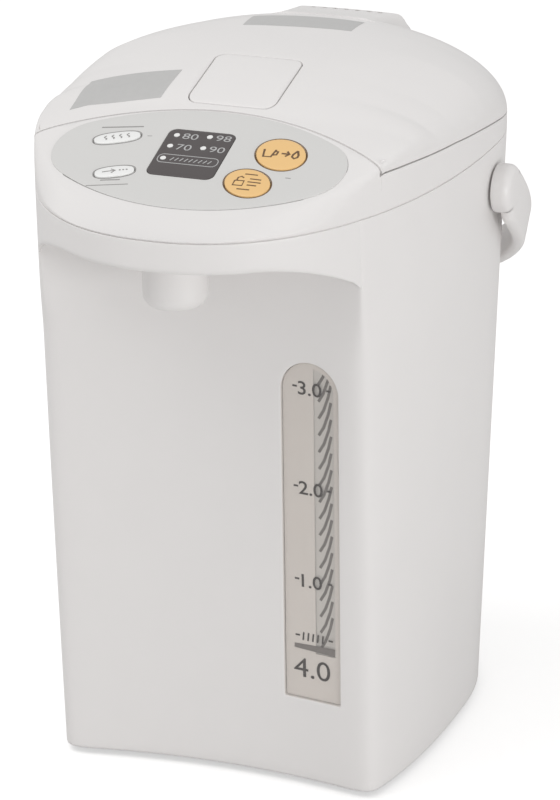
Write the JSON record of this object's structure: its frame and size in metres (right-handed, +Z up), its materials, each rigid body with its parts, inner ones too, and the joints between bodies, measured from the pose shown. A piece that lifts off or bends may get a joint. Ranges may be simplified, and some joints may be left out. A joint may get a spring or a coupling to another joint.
{
  "type": "electric thermo pot",
  "caption": "White electric thermo pot with sloping control panel, domed hinged lid, bail handle, front level gauge, spout over a scooped cup space and swivel base.",
  "frame": {"origin": "centre of the swivel base's underside, on the table, under the container's axis", "axes": "+Z up, front with spout and gauge towards -Y, +X to the right as seen from the front"},
  "size_m": [0.2292, 0.3061, 0.3516],
  "materials": {
    "white_body": "satin white moulded plastic",
    "white_button": "smooth white",
    "orange_button": "smooth light orange",
    "silver_panel": "silver-grey printed film",
    "foil": "dull silver-grey patch",
    "dark_window": "dark grey window",
    "clear": "clear moulded",
    "gauge_silver": "silver-grey with printed scale",
    "inner_plastic": "light grey moulded",
    "steel": "drawn stainless steel",
    "zinc": "plated steel",
    "rubber": "soft grey",
    "silicone": "translucent white silicone",
    "dark_plastic": "dark grey moulded",
    "board": "green laminate",
    "heater": "cast",
    "brass": "plated contacts",
    "insulation": "foil-faced sleeve"
  },
  "bodies": {
    "base": {"turntable": "inner_plastic", "turntable_feet": "rubber", "swivel_washer": "zinc", "swivel_screw": "zinc"},
    "pot": {"body_shell": "white_body", "bottom_plate": "inner_plastic", "bottom_screws": "zinc", "glide_pads": "silicone", "gauge_window": "clear", "gauge_plate": "gauge_silver", "level_tube": "clear", "spout": "white_body", "outlet_pipe": "silicone", "spill_valve": "inner_plastic", "riser_hose": "silicone", "feed_hose": "silicone", "inner_collar": "inner_plastic", "container": "steel", "container_gasket": "silicone", "insulation_sleeve": "insulation", "heater_ring": "heater", "heater_plate": "heater", "thermistor": "brass", "thermal_fuse": "brass", "pump_housing": "dark_plastic", "pump_motor": "zinc", "inlet_hose": "silicone", "power_board": "board", "power_inlet": "inner_plastic", "inlet_magnets": "zinc", "inlet_pins": "brass", "head_ring": "white_body", "control_panel": "silver_panel", "display_window": "dark_window", "indicator_lenses": "white_button", "control_board": "board", "hinge_bracket": "inner_plastic", "hinge_pin": "zinc", "handle_pins": "inner_plastic"},
    "lid": {"lid_outer": "white_body", "lid_knuckle": "inner_plastic", "lid_inner": "inner_plastic", "lid_disc": "steel", "lid_gasket": "silicone", "lid_screws": "zinc", "latch_housing": "inner_plastic", "lever_pin": "zinc", "steam_cover": "white_body", "steam_pipe": "inner_plastic", "lid_foils": "foil"},
    "lever": {"lid_lever": "white_body", "lever_crank": "inner_plastic"},
    "latch": {"latch_slide": "inner_plastic"},
    "bail": {"handle": "white_body"},
    "boil": {"boil_button": "white_button"},
    "select": {"select_button": "white_button"},
    "dispense": {"dispense_button": "orange_button"},
    "unlock": {"unlock_button": "orange_button"},
    "impeller": {"pump_impeller": "inner_plastic"},
    "ball": {"valve_ball": "steel"}
  },
  "joints": [
    {"name": "swivel", "type": "hinge", "parent": "base", "child": "pot", "pos_m": [0, 0, 0.01], "axis": [0, 0, 1], "continuous": true},
    {"name": "lid_hinge", "type": "hinge", "parent": "pot", "child": "lid", "pos_m": [0, 0.104, 0.316], "axis": [-1, 0, 0], "range_deg": [0, 80]},
    {"name": "lever_hinge", "type": "hinge", "parent": "lid", "child": "lever", "pos_m": [0, -0.0747, 0.3355], "axis": [1, 0, 0], "range_deg": [0, 35], "stiffness_Nm_per_rad": 0.02, "springref_deg": -17.19},
    {"name": "latch_retract", "type": "slide", "parent": "lid", "child": "latch", "axis": [0, 1, 0], "range_m": [0, 0.0062]},
    {"name": "handle_swing", "type": "hinge", "parent": "pot", "child": "bail", "pos_m": [0, 0.014, 0.2806], "axis": [1, 0, 0], "range_deg": [0, 130]},
    {"name": "boil_press", "type": "slide", "parent": "pot", "child": "boil", "axis": [0, 0.3304, -0.9439], "range_m": [0, 0.0008], "stiffness_N_per_m": 250, "springref_m": -0.002},
    {"name": "select_press", "type": "slide", "parent": "pot", "child": "select", "axis": [0, 0.3304, -0.9439], "range_m": [0, 0.0008], "stiffness_N_per_m": 250, "springref_m": -0.002},
    {"name": "dispense_press", "type": "slide", "parent": "pot", "child": "dispense", "axis": [0, 0.3304, -0.9439], "range_m": [0, 0.0008], "stiffness_N_per_m": 250, "springref_m": -0.002},
    {"name": "unlock_press", "type": "slide", "parent": "pot", "child": "unlock", "axis": [0, 0.3304, -0.9439], "range_m": [0, 0.0008], "stiffness_N_per_m": 250, "springref_m": -0.002},
    {"name": "impeller_spin", "type": "hinge", "parent": "pot", "child": "impeller", "pos_m": [0.038, -0.038, 0.04], "axis": [0, 0, 1], "continuous": true},
    {"name": "ball_lift", "type": "slide", "parent": "pot", "child": "ball", "axis": [0, 0, 1], "range_m": [0, 0.012]}
  ],
  "couplings": [
    {"joint": "latch_retract", "follows": "lever_hinge", "m_per_rad": 0.0098}
  ]
}
